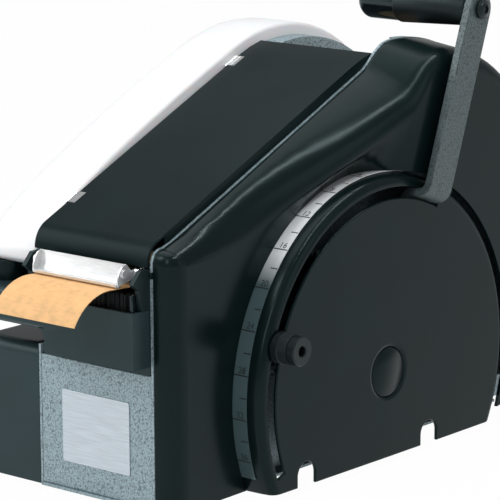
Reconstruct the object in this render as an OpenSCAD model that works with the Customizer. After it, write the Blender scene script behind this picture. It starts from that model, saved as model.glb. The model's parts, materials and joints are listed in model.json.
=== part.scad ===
/* [Frame] */
// Room between the tape and each side plate
side_room = 13.4; // [12:0.1:17]
// Thickness of the steel side plates
plate_t = 2; // [1.5:0.1:2.4]
// Height of the front plate's top edge
front_h = 91.4; // [86:0.2:93]
// Distance from the front plate to the centre of the round rear end
arch_y = 268; // [262:1:290]
// Height of the centre of the round rear end
arch_z = 156; // [150:1:162]
// Radius of the round rear end of the side plates
arch_r = 127.7; // [125:0.1:130]
// Height of the centre of the nose above the tape
nose_up = 16.937; // [14:0.1:20]
// Radius of the side plates' upper front corner
nose_r = 16; // [12:0.5:20]
// Thickness of the base plate
base_t = 2; // [1.5:0.1:2.4]
// Width of the rim turned in along the round rear end
rim_w = 13; // [9:0.5:14]

/* [Rubber feet] */
// Height of a rubber foot below the base plate
foot_h = 6; // [4:0.5:8]
// Radius of a rubber foot
foot_r = 11; // [8:0.5:13]

/* [Tape] */
// Width of the gummed tape
tape_w = 76.2; // [70:0.1:80]
// Thickness of the tape as it is drawn here
tape_t = 0.4; // [0.3:0.05:0.5]
// Outer radius of the roll of tape
roll_r = 100; // [80:1:104]
// Inner radius of the roll's paper core
core_r = 19; // [17:0.5:22]
// Radius of the curl in the end of the tape
tail_r = 39.2; // [36:0.2:42]

/* [Water] */
// Height of the brush tank's open top
tank_top = 137.5; // [136:0.5:142]
// Depth of the brush tank from its front face to its back
tank_d = 51; // [49:1:53]
// Wall of the brush tank
tank_wall = 2.5; // [2:0.1:3.5]
// Width of the water bottle
bottle_w = 60; // [56:1:68]
// How far the bottle stands above the side plates
bottle_rise = 9; // [7:0.5:12]

/* [Covers] */
// Wall of the moulded covers
cover_wall = 2.5; // [2:0.1:3.2]
// How far the right cover stands out beside the plate, at the front
cover_low = 17; // [15:0.5:20]
// How much further it stands out towards the rear
cover_swell = 24; // [20:0.5:25]
// Height of the right plate's raised rear end above the left plate's
rear_rise = 7.5; // [5:0.5:8.5]
// Width of the left cover
left_w = 59; // [50:1:64]
// Height of the left cover
left_h = 97; // [90:1:98]

/* [Dial] */
// Height of the lever's pivot
pivot_z = 60.5; // [59.5:0.1:63]
// Distance from the front plate to the lever's pivot
pivot_y = 205.5; // [203:0.1:208]
// Radius of the dial housing
dial_r = 143.6; // [142:0.1:145]
// How far the dial face stands out from the right side plate
dial_d = 41.4; // [40.5:0.1:43]
// How far in from the dial's edge the lever's slot lies
slot_in = 13.8; // [12:0.1:16]
// Width of that slot
slot_w = 8.2; // [8:0.1:9]
// Width of the band that carries the length scale
scale_w = 12.5; // [11:0.1:13]

/* [Lever] */
// Angle of the lever at rest, from the back towards the top
lever_angle = 70; // [69:0.5:71]
// Width of the lever's flat bar
bar_w = 25.4; // [22:0.2:26]
// Thickness of the lever's flat bar
bar_t = 6.35; // [5.5:0.05:6.6]
// Distance from the pivot to the grip's axis
grip_at = 269; // [265:1:273]
// Length of the grip
grip_l = 98; // [90:1:104]
// Radius of the grip at its thick end
grip_r = 16; // [14:0.5:17]
// Angle of the stop knob, from the back towards the top
knob_angle = 161; // [160:0.5:166]
// Radius of the stop knob
knob_r = 11.5; // [10:0.5:12]
// Length of the stop knob
knob_l = 20; // [16:0.5:22]

/* [Drive] */
// Radius of the feed wheel with its rubber tyre
wheel_r = 37.2; // [36.6:0.1:37.4]
// Width of the feed wheel
wheel_w = 38; // [30:1:44]
// Distance from the front plate to the feed shaft
feed_y = 84; // [83:0.5:86]
// Height of the tape where it leaves the feed wheel
tape_z = 150; // [149.8:0.1:150.4]
// Radius of the feed shaft
shaft_r = 6; // [5:0.5:7]
// Radius of the pressure roller
press_r = 12; // [10:0.5:14]
// Clearance of a turning fit
run_gap = 0.06; // [0.03:0.01:0.09]
// Clearance between pieces that only sit together
seat_gap = 0.3; // [0.2:0.05:0.4]

/* [Hidden] */
$fn = 72;

frame_w = tape_w + 2 * side_room;
slot_r = dial_r - slot_in;
base_z = -3;
cover_z = base_z;
side_r = frame_w + plate_t;
fit_gap = 0.03;
dial_face = side_r + dial_d;
dial_wall = 2.5;
dial_gap = 0.9;

// Outermost surfaces, which put the origin under the middle of the whole machine
tail_start = [-24, 153.6];
tail_turn = [3, -60];
bottle_x = -plate_t - 2.5;
bottle_back = arch_y + arch_r + bottle_rise;
over_x0 = bottle_x - bottle_w - 1.5;
tape_tip_y = tail_start[0] - tail_r * (sin(tail_turn[0]) - sin(tail_turn[1]));
knob_end = dial_face + 0.5 + knob_l;
mid_x = (over_x0 + knob_end) / 2;
mid_y = (tape_tip_y + bottle_back) / 2;

// Gear train between the lever and the feed shaft
gear_m = 1.5;
sector_n = 76;
pinion_n = 12;
wheel_m = 2;
cluster_n = 48;
feed_n = 24;
sector_pitch = gear_m * sector_n / 2;
pinion_pitch = gear_m * pinion_n / 2;
cluster_pitch = wheel_m * cluster_n / 2;
feed_pitch = wheel_m * feed_n / 2;
feed_z = tape_z - wheel_r - 0.2;
feed_dist = norm([pivot_y - feed_y, feed_z - pivot_z]);
feed_dir = 180 - atan2(feed_z - pivot_z, pivot_y - feed_y);
arm_1 = sector_pitch + pinion_pitch;
arm_2 = cluster_pitch + feed_pitch;
cluster_dir = feed_dir - acos((arm_1 * arm_1 + feed_dist * feed_dist - arm_2 * arm_2)
    / (2 * arm_1 * feed_dist));
cluster_y = pivot_y + arm_1 * cos(cluster_dir);
cluster_z = pivot_z + arm_1 * sin(cluster_dir);
mesh_dir = atan2(feed_z - cluster_z, feed_y - cluster_y);
main_shaft_r = 8;
axle_r = 4;
sector_x = side_r + 14;
sector_t = 7;
cluster_x = side_r + 3;
cluster_t = 6;

// Roll of tape on its two basket rollers
roll_y = 262;
roll_z = 133;
basket_r = 9;
basket_half = 45;
basket_z = roll_z - sqrt(pow(roll_r + basket_r + seat_gap, 2) - pow(basket_half, 2));
disc_r = arch_r - 9;
disc_t = 1.5;
disc_in = (frame_w - tape_w) / 2 - 1.4 - disc_t;

function on_circle(c, r, a) = [c[0] + r * cos(a), c[1] + r * sin(a)];
function arc(c, r, a0, a1, n) = [for (i = [0 : n]) on_circle(c, r, a0 + (a1 - a0) * i / n)];
function bezier(p, n) = [for (i = [0 : n]) let (t = i / n)
    (1 - t) * (1 - t) * p[0] + 2 * t * (1 - t) * p[1] + t * t * p[2]];
function straight(a, b, n) = [for (i = [0 : n - 1]) a + (b - a) * i / n];
function smooth_step(v, lo, hi) = let (t = max(0, min(1, (v - lo) / (hi - lo)))) t * t * (3 - 2 * t);

// Side profile of the machine, grown outwards by g: front edge, nose, slope, round rear end, rear edge
nose_c = [nose_r, tape_z + nose_up];
top_pitch = atan2(arch_z - nose_c[1], arch_y - nose_r)
    + asin((arch_r - nose_r) / norm([arch_y - nose_r, arch_z - nose_c[1]]));
function slope_z(y, g = 0) = arch_z + (arch_r + g) / cos(top_pitch) + (y - arch_y) * tan(top_pitch);
function side_profile(g, z0, z1, n = [1, 6, 1, 24, 1]) = concat(
    straight([-g, z0], [-g, nose_c[1]], n[0]),
    arc(nose_c, nose_r + g, 180, 90 + top_pitch, n[1]),
    [for (i = [1 : 1 : n[2] - 1]) let (a = on_circle(nose_c, nose_r + g, 90 + top_pitch),
        b = on_circle([arch_y, arch_z], arch_r + g, 90 + top_pitch)) a + (b - a) * i / n[2]],
    arc([arch_y, arch_z], arch_r + g, 90 + top_pitch, 0, n[3]),
    [for (i = [1 : n[4]]) let (y = arch_y + arch_r + g) [y, arch_z + (z1 - arch_z) * i / n[4]]]);

// The right plate lies lower under the lid's edge, and rises behind the lid
lid_sink = 4.5;
function right_rise(p) = (lid_sink + rear_rise) * smooth_step(p[0], 222, 256) - lid_sink * smooth_step(p[0], 0, 14);
function right_profile(g, z0, z1, n) = let (a = side_profile(0, z0, z1, n), b = side_profile(1, z0, z1, n))
    [for (i = [0 : len(a) - 1]) a[i] + (b[i] - a[i]) * (right_rise(a[i]) + g)];

// Closed loops joined one after another into one solid with two end faces
module loft(loops) {
    m = len(loops[0]);
    n = len(loops);
    polyhedron(points = [for (loop = loops) each loop], faces = concat(
        [[for (j = [0 : m - 1]) j]],
        [[for (j = [m - 1 : -1 : 0]) (n - 1) * m + j]],
        [for (i = [0 : n - 2], j = [0 : m - 1]) let (k = (j + 1) % m)
            [i * m + j, (i + 1) * m + j, (i + 1) * m + k]],
        [for (i = [0 : n - 2], j = [0 : m - 1]) let (k = (j + 1) % m)
            [i * m + j, (i + 1) * m + k, i * m + k]]), convexity = 8);
}

module placed() translate([-mid_x, -mid_y, foot_h - base_z]) children();
// A flat shape drawn as [back, up], given thickness t to the right of x
module upright(x, t) translate([x, 0, 0]) rotate([90, 0, 90]) linear_extrude(t) children();
// A round bar or hole along the width, at [back, up] = at
module bar(x, l, r, at) translate([x, at[0], at[1]]) rotate([0, 90, 0]) cylinder(h = l, r = r);
module round_rect(size, r) {
    translate([r, 0]) square([size[0] - 2 * r, size[1]]);
    translate([0, r]) square([size[0], size[1] - 2 * r]);
    for (y = [r, size[0] - r], z = [r, size[1] - r]) translate([y, z]) circle(r);
}
// Things set out around the lever's pivot, with the angle counted from the back towards the top
module at_pivot(a = 0) translate([0, pivot_y, pivot_z]) rotate([a, 0, 0]) children();
module sector_2d(r, a0, a1) polygon(concat([[0, 0]], arc([0, 0], r, a0, a1, 36)));

// Involute spur gear in the plane [back, up] with a tooth at angle 0
function inv(a) = tan(a) * 180 / PI - a;
function half_tooth(n, m, r) = let (rb = m * n / 2 * cos(25), slack = 0.09)
    90 / n - slack / (m * n / 2) * 180 / PI + inv(25) - (r <= rb ? 0 : inv(acos(rb / r)));
function gear_root(n, m) = m * n / 2 - m;
module teeth_2d(n, m, first, last) {
    root = gear_root(n, m);
    tip = m * n / 2 + 0.8 * m;
    mid = m * n / 2 - 0.1 * m;
    for (i = [first : last]) rotate(360 / n * i) polygon([
        on_circle([0, 0], root - 0.6, -half_tooth(n, m, root)), on_circle([0, 0], root, -half_tooth(n, m, root)),
        on_circle([0, 0], mid, -half_tooth(n, m, mid)), on_circle([0, 0], tip, -half_tooth(n, m, tip)),
        on_circle([0, 0], tip, half_tooth(n, m, tip)), on_circle([0, 0], mid, half_tooth(n, m, mid)),
        on_circle([0, 0], root, half_tooth(n, m, root)), on_circle([0, 0], root - 0.6, half_tooth(n, m, root))]);
}
module gear_2d(n, m) {
    circle(gear_root(n, m));
    teeth_2d(n, m, 0, n - 1);
}

/* ---- Frame ---- */
pan_back = arch_y + arch_r - 4;
feet_at = [for (x = [16, frame_w - 12], y = [26, pan_back - foot_r - 1]) [x, y]];

module base_plate() placed() color("#7f8a90") translate([0, 0, base_z]) linear_extrude(base_t)
    translate([0, -2]) square([frame_w, pan_back + 2]);

module rubber_feet() placed() color("#15171a") for (p = feet_at) translate([p[0], p[1], base_z - foot_h])
    rotate_extrude() polygon([[0, 0], [foot_r - 1.5, 0], [foot_r, 1.5], [foot_r - 1, foot_h], [0, foot_h]]);

nose_arm_z = 151;
notch_y = tank_d + 12;
module plate_holes() {
    translate([feed_y, feed_z]) circle(shaft_r + 4);
    translate(weight_at) circle(2.5);
    translate([press_y, press_z]) circle(3.5);
    translate(rod_at) circle(rod_r);
    for (s = [-1, 1]) translate([roll_y + s * basket_half, basket_z]) circle(axle_r);
}
// A profile of [radius, out from the left] swept about the point [back, up] = c, from angle a0 to a1
module swept(c, a0, a1) translate([0, c[0], c[1]]) rotate([0, 90, 0]) rotate([0, 0, a0 + 90])
    rotate_extrude(angle = a1 - a0, $fn = 180) children();
// Stretch of rim along the round rear end: w wide from x, and d deep from the edge inwards
lip_w = 8;
rim_from = 16;
rim_to = 101;
rim_r = arch_r - 0.25;
module rim(x, w, d, rise = 0, to = rim_to) swept([arch_y, arch_z], rim_from, to)
    translate([rim_r + rise - d, x]) square([d, w]);

module left_side_plate() placed() color("#8f999f") {
    upright(-plate_t, plate_t) difference() {
        polygon(side_profile(0, base_z, base_z));
        translate([-1, 103]) square([notch_y + 1, nose_arm_z - 103]);
        translate([-1, 98]) square([8, 6]);
        plate_holes();
    }
    rim(0, rim_w, plate_t);
    rim(rim_w - plate_t, plate_t, lip_w);
}

flange_w = 10;
module right_side_plate() placed() color("#8f999f") {
    upright(frame_w, plate_t) difference() {
        polygon(right_profile(0, base_z, base_z, [1, 8, 24, 48, 1]));
        plate_holes();
        translate([pivot_y, pivot_z]) circle(main_shaft_r + fit_gap);
        translate([cluster_y, cluster_z]) circle(axle_r + fit_gap);
    }
    rim(frame_w - 6, 6, plate_t, rear_rise, 90);
    translate([frame_w, 8, base_z]) cube([plate_t + flange_w, pan_back - 20, plate_t]);
}

shelf_d = tank_d - 22;
module front_plate() placed() color("#8f999f") {
    translate([fit_gap, 0, base_z + base_t]) cube([frame_w - 2 * fit_gap, plate_t, front_h - base_z - base_t]);
    translate([fit_gap, plate_t, front_h - plate_t]) cube([frame_w - 2 * fit_gap, shelf_d, plate_t]);
}

label_size = [62.6, 51.5];
label_at = [20.3, 18.1];
module label_plate() placed() color("#c5ced6") translate([label_at[0], 0, label_at[1]]) rotate([90, 0, 0])
    linear_extrude(0.8) round_rect(label_size, 1.5);

rear_h = 84;
module rear_panel() placed() color("#8f999f")
    translate([fit_gap, pan_back - 6, base_z + base_t]) cube([frame_w - 2 * fit_gap, plate_t, rear_h]);

/* ---- Roll basket ---- */
// Spoked disc that keeps the roll of tape upright
spoke_n = 6;
module guide_disc(x) upright(x, disc_t) translate([arch_y, arch_z]) {
    difference() {
        circle(disc_r);
        circle(disc_r - 9);
    }
    circle(26);
    for (i = [0 : spoke_n - 1]) rotate(90 + i * 360 / spoke_n) translate([20, -2.5]) square([disc_r - 24, 5]);
}
spacer_at = [for (i = [0 : spoke_n - 1]) on_circle([arch_y, arch_z], disc_r - 5, 90 + i * 360 / spoke_n)];
module left_guide_disc() placed() color("#20272a") guide_disc(disc_in);
module right_guide_disc() placed() color("#20272a") guide_disc(frame_w - disc_in - disc_t);
module disc_spacers() placed() color("#60686d") for (p = spacer_at) {
    bar(0, disc_in, 3.5, p);
    bar(frame_w - disc_in, disc_in, 3.5, p);
}
module basket_roller(s) placed() color("#2a2e31") difference() {
    bar(4, frame_w - 8, basket_r, [roll_y + s * basket_half, basket_z]);
    bar(0, frame_w, axle_r + run_gap, [roll_y + s * basket_half, basket_z]);
}
module front_basket_roller() basket_roller(-1);
module rear_basket_roller() basket_roller(1);
module basket_axles() placed() color("#b4babd") for (s = [-1, 1])
    bar(-plate_t, frame_w + 2 * plate_t, axle_r - fit_gap, [roll_y + s * basket_half, basket_z]);

/* ---- Water ---- */
tank_y0 = -17;
tank_x0 = 20;
tank_x1 = frame_w - 0.6;
tank_z = 98;
over_z = 114;
tank_fillet = 6;
socket_at = [-42, 15];
cap_r = 13;
module brush_tank() placed() color("#1c2427") difference() {
    union() {
        upright(tank_x0, tank_x1 - tank_x0) difference() {
            translate([tank_y0, front_h + seat_gap]) square([tank_d, tank_top - front_h - seat_gap]);
            translate([tank_y0 - 1, front_h - 1]) square([1 - tank_y0 - 0.3, tank_z - front_h + 1]);
        }
        upright(over_x0, tank_x0 - over_x0) translate([tank_y0, over_z])
            round_rect([tank_d, tank_top - over_z], 3);
        translate([tank_x0 - tank_fillet, tank_y0 + tank_d, over_z - tank_fillet]) rotate([90, 0, 0])
            linear_extrude(tank_d) difference() {
                square(tank_fillet + 1);
                circle(tank_fillet);
            }
    }
    upright(tank_x0 + tank_wall, tank_x1 - tank_x0 - 2 * tank_wall)
        translate([tank_y0 + tank_wall, tank_z + tank_wall]) square([tank_d - 2 * tank_wall, tank_top]);
    upright(over_x0 + tank_wall, tank_x0 - over_x0) translate([tank_y0 + tank_wall, over_z + tank_wall])
        square([tank_d - 2 * tank_wall, tank_top - over_z - 2 * tank_wall]);
    translate([socket_at[0], socket_at[1], over_z + tank_wall]) cylinder(h = 40, r = cap_r + 0.5);
}

brush_d = 13;
brush_gap = 6;
brush_block = 22;
brush_x0 = tank_x0 + tank_wall + 1.5;
brush_l = tank_x1 - tank_wall - 1 - brush_x0;
// A block with bristles in it, and a clip at its right end to lift it out by
module brush(y) placed() color("#141719") translate([brush_x0, y, tank_z + tank_wall]) {
    cube([brush_l - 2.5, brush_d, brush_block]);
    translate([2, 1.5, brush_block]) cube([brush_l - 6.5, brush_d - 3, tape_z - 1.5 - tank_z - tank_wall - brush_block]);
    translate([brush_l - 2.5, 0, 0]) cube([2.5, brush_d, tape_z - 1 - tank_z - tank_wall]);
}
module front_brush() brush(tank_y0 + tank_wall + 1);
module rear_brush() brush(tank_y0 + tank_wall + 1 + brush_d + brush_gap);

// Loop of the bottle's outline, drawn inwards by e
bottle_low = 99;
bottle_step = 60;
function bottle_loop(e) = concat(
    [[bottle_step + 15 + e, 152 + e], [bottle_step - 55 + e, 152 + e]],
    bezier([[-2 + e, 158], [14 + e, 190 - e], [150, slope_z(150, bottle_rise - e)]], 10),
    arc([arch_y, arch_z], arch_r + bottle_rise - e, 90 + top_pitch, 0, 20),
    arc([bottle_back - 24, bottle_low + 24], 24 - e, 0, -90, 6),
    [[bottle_step + 15 + e, bottle_low + e]]);
module water_bottle() placed() color("#f4f5f2") {
    edge = 20;
    lip = 3;
    loft([for (s = concat([for (i = [0 : 2]) [lip * (1 - cos(45 * i)), lip * (1 - sin(45 * i))]],
            [for (i = [0 : 5]) [bottle_w - edge + edge * sin(18 * i), edge * (1 - cos(18 * i))]]))
        [for (p = bottle_loop(s[1])) [bottle_x - s[0], p[0], p[1]]]]);
}
module bottle_cap() placed() color("#23292c") translate([socket_at[0], socket_at[1], 0]) {
    translate([0, 0, over_z + tank_wall + 8]) cylinder(h = 152 - over_z - tank_wall - 8, r = cap_r);
}

/* ---- Covers ---- */
left_short = 7.7;
left_l = arch_y + arch_r - left_short;
module left_cover_block(e) intersection() {
    translate([0, left_l - e, 0]) rotate([90, 0, 0]) linear_extrude(left_l - 2 * e)
        translate([-plate_t - seat_gap - left_w + e, cover_z - 20])
            round_rect([left_w + (e > 0 ? 30 : 0), left_h - cover_z + 20 - e], 9 - e);
    upright(-plate_t - seat_gap - left_w - 1, left_w + 1) translate([0, cover_z - 20])
        translate([e, 0]) round_rect([left_l - 2 * e, left_h - cover_z + 20 - e], 9 - e);
}
module left_cover() placed() color("#101416") difference() {
    left_cover_block(0);
    left_cover_block(cover_wall);
    translate([-2 * left_w, -1, cover_z - 40]) cube([2 * left_w, left_l + 2, 40]);
}

// Stations of the right cover run along the right plate's edge; each is a closed cross-section of its wall
cover_n = [8, 6, 12, 28, 7];
cover_bend = 7;
cover_x = side_r + seat_gap;
cover_drop = 0.6;
cover_back_z = 13;
flush_w = dial_d - seat_gap - 0.5;
function cover_depth(p) = cover_low + min(cover_swell, flush_w - cover_low)
    * smooth_step(p[0], 70, 250) * max(smooth_step(p[1], 90, 200), smooth_step(p[0], 280, 330));
// How far in from the edge the ridge of the shoulder lies, and how much of it the bend takes up
function ridge_in(p) = 3 + 16 * smooth_step(p[0], 8, 80) - 14 * smooth_step(p[0], 230, 285);
ridge_bend = 12;
function ring_at(b) = cover_low + (flush_w - cover_low) * (1 - smooth_step(b, 72, 98));
// The ring takes a little more of a turn than the edge, but at the front no more than down to the base
ring_foot = 180 + asin((pivot_z - cover_z) / (dial_r + dial_gap));
edge_foot = 180 + atan2(pivot_z - cover_z, pivot_y);
ring_turn = min(1.08, (ring_foot - 90) / (edge_foot - 90));
function ring_point(p, drop) = let (a = atan2(p[1] - pivot_z, p[0] - pivot_y),
        b = a < -90 ? a + 360 : a, turned = 90 + (b - 90) * ring_turn,
        q = on_circle([pivot_y, pivot_z], dial_r + dial_gap, turned))
    [cover_x + ring_at(turned) - drop, q[0], max(q[1], cover_z)];
// From the edge out along the shoulder and round the ridge, as [out, inwards], for the face e inside the outer one
function shoulder(p, e) = let (d = cover_depth(p), ridge = [d - e, ridge_in(p) + 0.8 * e], start = [2.5, e],
        along = (start - ridge) / norm(start - ridge), r = min(ridge_bend, 0.8 * norm(start - ridge)))
    concat([start], bezier([ridge + r * along, ridge, ridge + [0, r]], cover_bend));
function cover_station(p, inward) = let (outer = shoulder(p, 0), inner = shoulder(p, cover_wall)) concat(
    [[cover_x, p[0], p[1]]],
    [for (v = outer) let (q = p + inward * v[1]) [cover_x + v[0], q[0], q[1]]],
    [ring_point(p, 0)], [ring_point(p, cover_wall)],
    [for (i = [len(inner) - 1 : -1 : 0]) let (v = inner[i], q = p + inward * v[1]) [cover_x + v[0], q[0], q[1]]],
    [let (q = p + inward * cover_wall) [cover_x, q[0], q[1]]]);
module right_cover() placed() color("#101416") {
    outer = right_profile(-cover_drop, cover_z, cover_back_z, cover_n);
    base = side_profile(0, cover_z, cover_back_z, cover_n);
    grown = side_profile(1, cover_z, cover_back_z, cover_n);
    loft([for (i = [0 : len(outer) - 1]) cover_station(outer[i], base[i] - grown[i])]);
}

dial_x0 = side_r + 11.5;
dial_dish = 1;
dial_under = dial_face - dial_dish - dial_wall;
slot_from = lever_angle - 7;
slot_to = 203;
notch_w = 19;
module foot_cut(keep = 0) translate([side_r - 50, pivot_y - 250, cover_z - 150 + keep]) cube([250, 500, 150]);
module dial_housing() placed() color("#12171a") difference() {
    translate([0, pivot_y, pivot_z]) rotate([0, 90, 0]) rotate_extrude($fn = 180) polygon(concat(
        [[dial_r - dial_wall, dial_x0], [dial_r, dial_x0], [dial_r, dial_face - 24.5],
        [dial_r - 0.5, dial_face - 11.5]],
        arc([dial_r - 8, dial_face - dial_dish - 7], 7, 15, 90, 8),
        [[22, dial_face], [18.5, dial_face - 1], [18.5, dial_face - 3], [0, dial_face - 3], [0, dial_face - 5.5],
        [22, dial_face - 5.5], [24, dial_face - dial_wall]],
        arc([dial_r - 8, dial_face - dial_dish - 7], 7 - dial_wall, 90, 15, 8)));
    swept([pivot_y, pivot_z], slot_from, slot_to) translate([slot_r - slot_w / 2, dial_face - 10])
        square([slot_w, 20]);
    foot_cut();
    for (y = [104, 245]) translate([0, y, 0]) upright(side_r - 10, 80) {
        translate([0, cover_z - 10]) square([notch_w, 18]);
        translate([notch_w / 2, cover_z + 8]) circle(notch_w / 2);
    }
}

module length_scale() placed() color("#b9bfc0") difference() {
    swept([pivot_y, pivot_z], slot_from + 15, slot_to - 2) translate([dial_r + 0.03, dial_face - 24.3]) square([0.5, scale_w]);
    foot_cut(1);
}

module axis_plug() placed() color("#171c1f") at_pivot() rotate([0, 90, 0]) rotate_extrude()
    polygon([[0, dial_face - 3], [18.3, dial_face - 3], [18.3, dial_face - 1.6], [17.3, dial_face - 0.8], [0, dial_face - 0.8]]);

/* ---- Lid ---- */
lid_gap = 0.3;
lid_t = 2;
lid_over = 8;
lid_flange = 1.5;
function lid_line(g) = concat([[-g, nose_c[1] - 0.537]], arc(nose_c, nose_r + g, 180, 90 + top_pitch, 10),
    [on_circle([arch_y, arch_z], arch_r + g, 90 + top_pitch)],
    arc([arch_y, arch_z], arch_r + g, 90 + top_pitch, 102, 2));
lid_in = lid_gap;
lid_out = lid_gap + lid_t;
function turned_back(l) = [for (i = [len(l) - 1 : -1 : 0]) l[i]];
lid_x0 = -plate_t;
lid_x1 = frame_w - 0.6;
module top_cover() placed() color("#14191b") {
    upright(lid_x0, lid_x1 - lid_x0) polygon(concat(lid_line(lid_out), turned_back(lid_line(lid_in))));
    for (x = [0.5, lid_x1 - lid_flange]) upright(x, lid_flange) intersection() {
        polygon(concat(lid_line(lid_in), turned_back(lid_line(lid_in - lid_over))));
        translate([nose_r, 0]) square([arch_y, arch_y + arch_z]);
    }
}
hinge_r = 1.1;
hinge_in = 0.8;
hinge_at = [nose_r + 21, nose_r + 192];
hinge_axis_x = lid_x0 - hinge_r - 0.2;
module lid_hinge_clips() placed() color("#c9cdd0") for (y = hinge_at)
    translate([hinge_axis_x, y, slope_z(y, lid_out - hinge_in)]) rotate([top_pitch - 90, 0, 0])
        translate([0, 0, -7]) cylinder(h = 14, r = hinge_r);

/* ---- Weight plate over the tape ---- */
weight_at = [1, nose_c[1] - 5.937];
weight_t = 1.2;
weight_w = tape_w + 0.6;
weight_face = [[-11.3, 7.8], [-13.9, -2], [-14.8, -4], [-17.6, -6.1], [-18.8, -6.4], [-19.7, -5.8], [-19.9, -4.4]];
weight_ear = [[-19.9, -5.3], [-19.6, -1.5], [-18, 3], [-14.8, 6.8], [-11.3, 8], [-8.3, 5.2], [-6.2, 2.4], [-3, 2.9],
    [0, 3.8], [0, -3.8], [-7, -3.8], [-15, -5.2], [-18.4, -6]];
module weight_plate() placed() color("#e6e9ea") difference() {
    union() {
        upright((frame_w - weight_w) / 2, weight_w) translate(weight_at) polygon(thick(weight_face, -weight_t));
        for (s = [0, 1]) translate([(frame_w - weight_w) / 2 + s * (weight_w + weight_t), 0, 0]) {
            upright(-weight_t, weight_t) translate(weight_at) {
                polygon(weight_ear);
                circle(3.8);
            }
            bar(s * 2.5 - weight_t - 2.5, 2.5, 3, weight_at + [-13.4, 1.6]);
        }
    }
    bar(0, frame_w, 2.5 + run_gap, weight_at);
}
bracket_t = 3.6;
bracket_line = [[-10, -23], [-12, -9], [-18, -4], [-10, 4.5], [11, 4.5], [19, -3], [19, -23]];
module weight_brackets() placed() color("#14191b") for (x = [0, frame_w - bracket_t]) upright(x, bracket_t)
    translate(weight_at) difference() {
        polygon(bracket_line);
        circle(2.5);
    }
module weight_pin() placed() color("#d8dcde")
    bar(-plate_t - 1.5, frame_w + 2 * plate_t + 1.5, 2.5 - fit_gap, weight_at);

/* ---- Lever and its gears ---- */
module main_shaft() placed() color("#aab0b3") union() {
    bar(frame_w, dial_d - 4, main_shaft_r, [pivot_y, pivot_z]);
    bar(frame_w - 4, 4, main_shaft_r + 6, [pivot_y, pivot_z]);
}
module cluster_axle() placed() color("#aab0b3") {
    bar(frame_w, 28, axle_r, [cluster_y, cluster_z]);
    bar(frame_w - 3, 3, axle_r + 4, [cluster_y, cluster_z]);
}
hub_r = 14;
arm_x = dial_face - 14.5;
module lever_hub() placed() color("#5d666a") difference() {
    bar(sector_x - 2, arm_x - sector_x + 2 + bar_t + 1.8, hub_r, [pivot_y, pivot_z]);
    bar(side_r, dial_d, main_shaft_r + run_gap, [pivot_y, pivot_z]);
}
module sector_gear() placed() color("#9aa1a4") difference() {
    at_pivot() upright(sector_x, sector_t) rotate(cluster_dir) {
        sector_2d(gear_root(sector_n, gear_m), -98, 13);
        circle(24);
        teeth_2d(sector_n, gear_m, -20, 2);
    }
    bar(0, 200, hub_r + fit_gap, [pivot_y, pivot_z]);
}
bend_r = 3.5;
turn_r = 4.6;
out_x = dial_face + turn_r;
eye_r = 22;
// Quarter of a bend, with its centre at c and opening towards the corner q
module bend(c, r, q) translate(c) intersection() {
    difference() {
        circle(r + bar_t);
        circle(r);
    }
    translate([min(q[0], 0) * 40, min(q[1], 0) * 40]) square(40);
}
// The bar seen edge on, as [out from the plate, out from the pivot]: up, out through the slot and up again
module lever_path() {
    inner = slot_r - bar_t / 2;
    leg_x = arm_x + bar_t + bend_r;
    translate([arm_x, 0]) square([bar_t, inner - bend_r]);
    bend([leg_x, inner - bend_r], bend_r, [-1, 1]);
    translate([leg_x, inner]) square([out_x - turn_r - leg_x, bar_t]);
    bend([out_x - turn_r, inner + bar_t + turn_r], turn_r, [1, -1]);
    translate([out_x, inner + bar_t + turn_r]) square([bar_t, grip_at + bar_w - inner - bar_t - turn_r]);
}
module lever_arm() placed() color("#6f7a7e") difference() {
    at_pivot(lever_angle) {
        intersection() {
            translate([0, 0, -bar_w / 2]) linear_extrude(bar_w) lever_path();
            upright(arm_x - 1, out_x + bar_t + 2 - arm_x) {
                translate([0, -bar_w / 2]) square([grip_at, bar_w]);
                translate([grip_at, 0]) circle(bar_w / 2);
            }
        }
        bar(arm_x, bar_t, eye_r, [0, 0]);
    }
    bar(0, 2 * side_r, hub_r + fit_gap, [pivot_y, pivot_z]);
    at_pivot(lever_angle) bar(arm_x, 2 * dial_d, bolt_r + fit_gap, [grip_at, 0]);
}

bolt_r = 4;
grip_x1 = out_x - 0.6;
module grip_bolt() placed() color("#15181a") at_pivot(lever_angle) {
    bar(out_x - grip_l + 6, grip_l - 6 + bar_t, bolt_r, [grip_at, 0]);
    bar(out_x + bar_t, 3, 7, [grip_at, 0]);
}
module lever_grip() placed() color("#101214") at_pivot(lever_angle) difference() {
    translate([0, grip_at, 0]) rotate([0, 90, 0]) rotate_extrude() polygon(concat(
        [[bolt_r + run_gap, grip_x1], [grip_r - 2.5, grip_x1], [grip_r - 1, grip_x1 - 1.5], [grip_r, grip_x1 - 60]],
        [[grip_r - 1.4, grip_x1 - 63]],
        [for (a = [0 : 15 : 90]) [grip_r - 9 + 7.6 * cos(a), grip_x1 - grip_l + 9 - 9 * sin(a)]],
        [[bolt_r + run_gap, grip_x1 - grip_l]]));
}

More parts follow.
